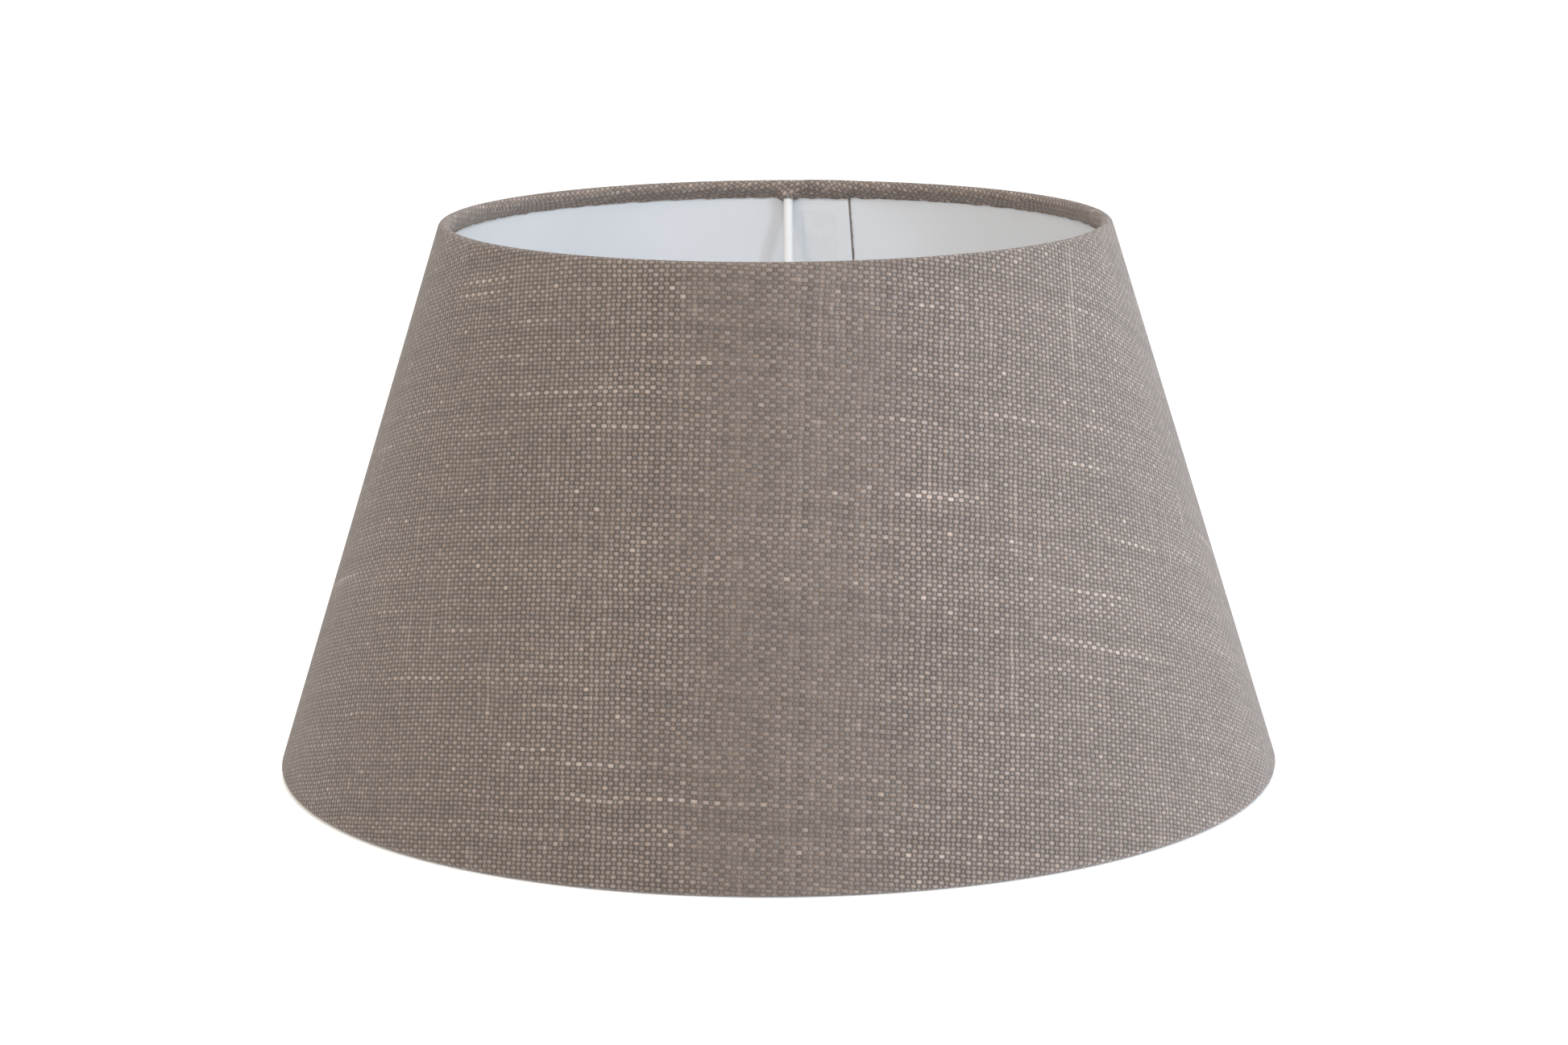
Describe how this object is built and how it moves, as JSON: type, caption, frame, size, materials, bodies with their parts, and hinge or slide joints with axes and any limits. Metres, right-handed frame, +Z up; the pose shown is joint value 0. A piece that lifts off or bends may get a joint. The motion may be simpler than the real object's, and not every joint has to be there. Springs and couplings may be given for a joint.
{
  "type": "lamp shade",
  "caption": "Tapered round hardback lamp shade in woven cloth with rolled edges, white liner, a sunk spider ring and a lift-out reducer ring.",
  "frame": {"origin": "centre of the bottom opening, on the plane that the shade stands on", "axes": "+Z up along the shade's axis of revolution, +Y towards the back, where the cloth's seam and one spider arm are, +X to the right seen from the front"},
  "size_m": [0.3, 0.3, 0.164],
  "materials": {
    "cloth": "plain woven linen-look cloth, matte with a slight sheen",
    "liner": "stiff white film, satin",
    "wire": "white powder coat, satin",
    "rim_wire": "bright drawn wire",
    "tape": "translucent double-sided tape",
    "reducer": "white moulded plastic, satin",
    "label": "blank white film, satin"
  },
  "bodies": {
    "shade": {"fabric_cover": "cloth", "liner": "liner", "seam_tape": "tape", "blank_label": "label", "top_wire_ring": "rim_wire", "bottom_wire_ring": "rim_wire", "spider_arm_back": "wire", "spider_arm_right": "wire", "spider_arm_left": "wire", "lampholder_ring": "wire"},
    "reducer": {"reducer_ring": "reducer"}
  },
  "joints": [
    {"name": "reducer_lift", "type": "slide", "parent": "shade", "child": "reducer", "axis": [0, 0, 1], "range_m": [0, 0.06]}
  ]
}
